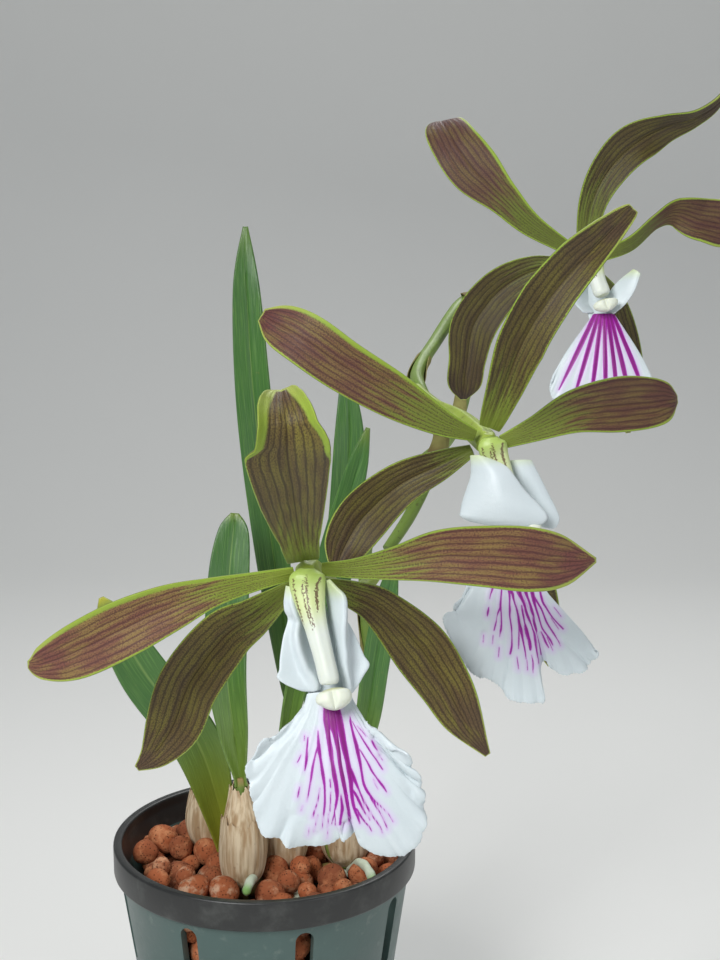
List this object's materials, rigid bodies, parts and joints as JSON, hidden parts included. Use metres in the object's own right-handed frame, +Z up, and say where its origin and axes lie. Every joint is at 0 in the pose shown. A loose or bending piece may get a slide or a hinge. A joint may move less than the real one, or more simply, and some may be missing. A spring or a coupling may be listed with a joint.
{
  "type": "potted orchid in flower",
  "caption": "Small potted Encyclia pyriformis: strap leaves on pseudobulbs in clay pebbles, and an arching scape with olive-brown star flowers and white, magenta-veined lips.",
  "frame": {"origin": "centre of the pot's flat underside, on the surface it stands on", "axes": "+Z up, -Y towards the front where the flowers lean, +X to the viewer's right"},
  "size_m": [0.1124, 0.1742, 0.2095],
  "materials": {
    "pot": "satin",
    "clay": "matte",
    "root": "matte",
    "pseudobulb": "satin",
    "leaf": "satin",
    "stem": "satin",
    "sepal": "satin",
    "petal": "satin",
    "lip": "satin",
    "column": "satin",
    "anther": "satin"
  },
  "bodies": {
    "root": {"pot": "pot", "growing_medium": "clay", "rhizome_and_roots": "root", "pseudobulb_1": "pseudobulb", "pseudobulb_2": "pseudobulb", "pseudobulb_3": "pseudobulb", "pseudobulb_4": "pseudobulb", "pseudobulb_5": "pseudobulb", "leaf_1": "leaf", "leaf_2": "leaf", "leaf_3": "leaf", "leaf_4": "leaf", "leaf_5": "leaf", "leaf_6": "leaf", "scape": "stem", "front_dorsal_sepal": "sepal", "front_left_sepal": "sepal", "front_right_sepal": "sepal", "front_left_petal": "petal", "front_right_petal": "petal", "front_lip": "lip", "front_column": "column", "front_anther_cap": "anther", "front_ovary": "stem", "middle_dorsal_sepal": "sepal", "middle_left_sepal": "sepal", "middle_right_sepal": "sepal", "middle_left_petal": "petal", "middle_right_petal": "petal", "middle_lip": "lip", "middle_column": "column", "middle_anther_cap": "anther", "middle_ovary": "stem", "rear_dorsal_sepal": "sepal", "rear_left_sepal": "sepal", "rear_right_sepal": "sepal", "rear_left_petal": "petal", "rear_right_petal": "petal", "rear_lip": "lip", "rear_column": "column", "rear_anther_cap": "anther", "rear_ovary": "stem"}
  },
  "joints": []
}
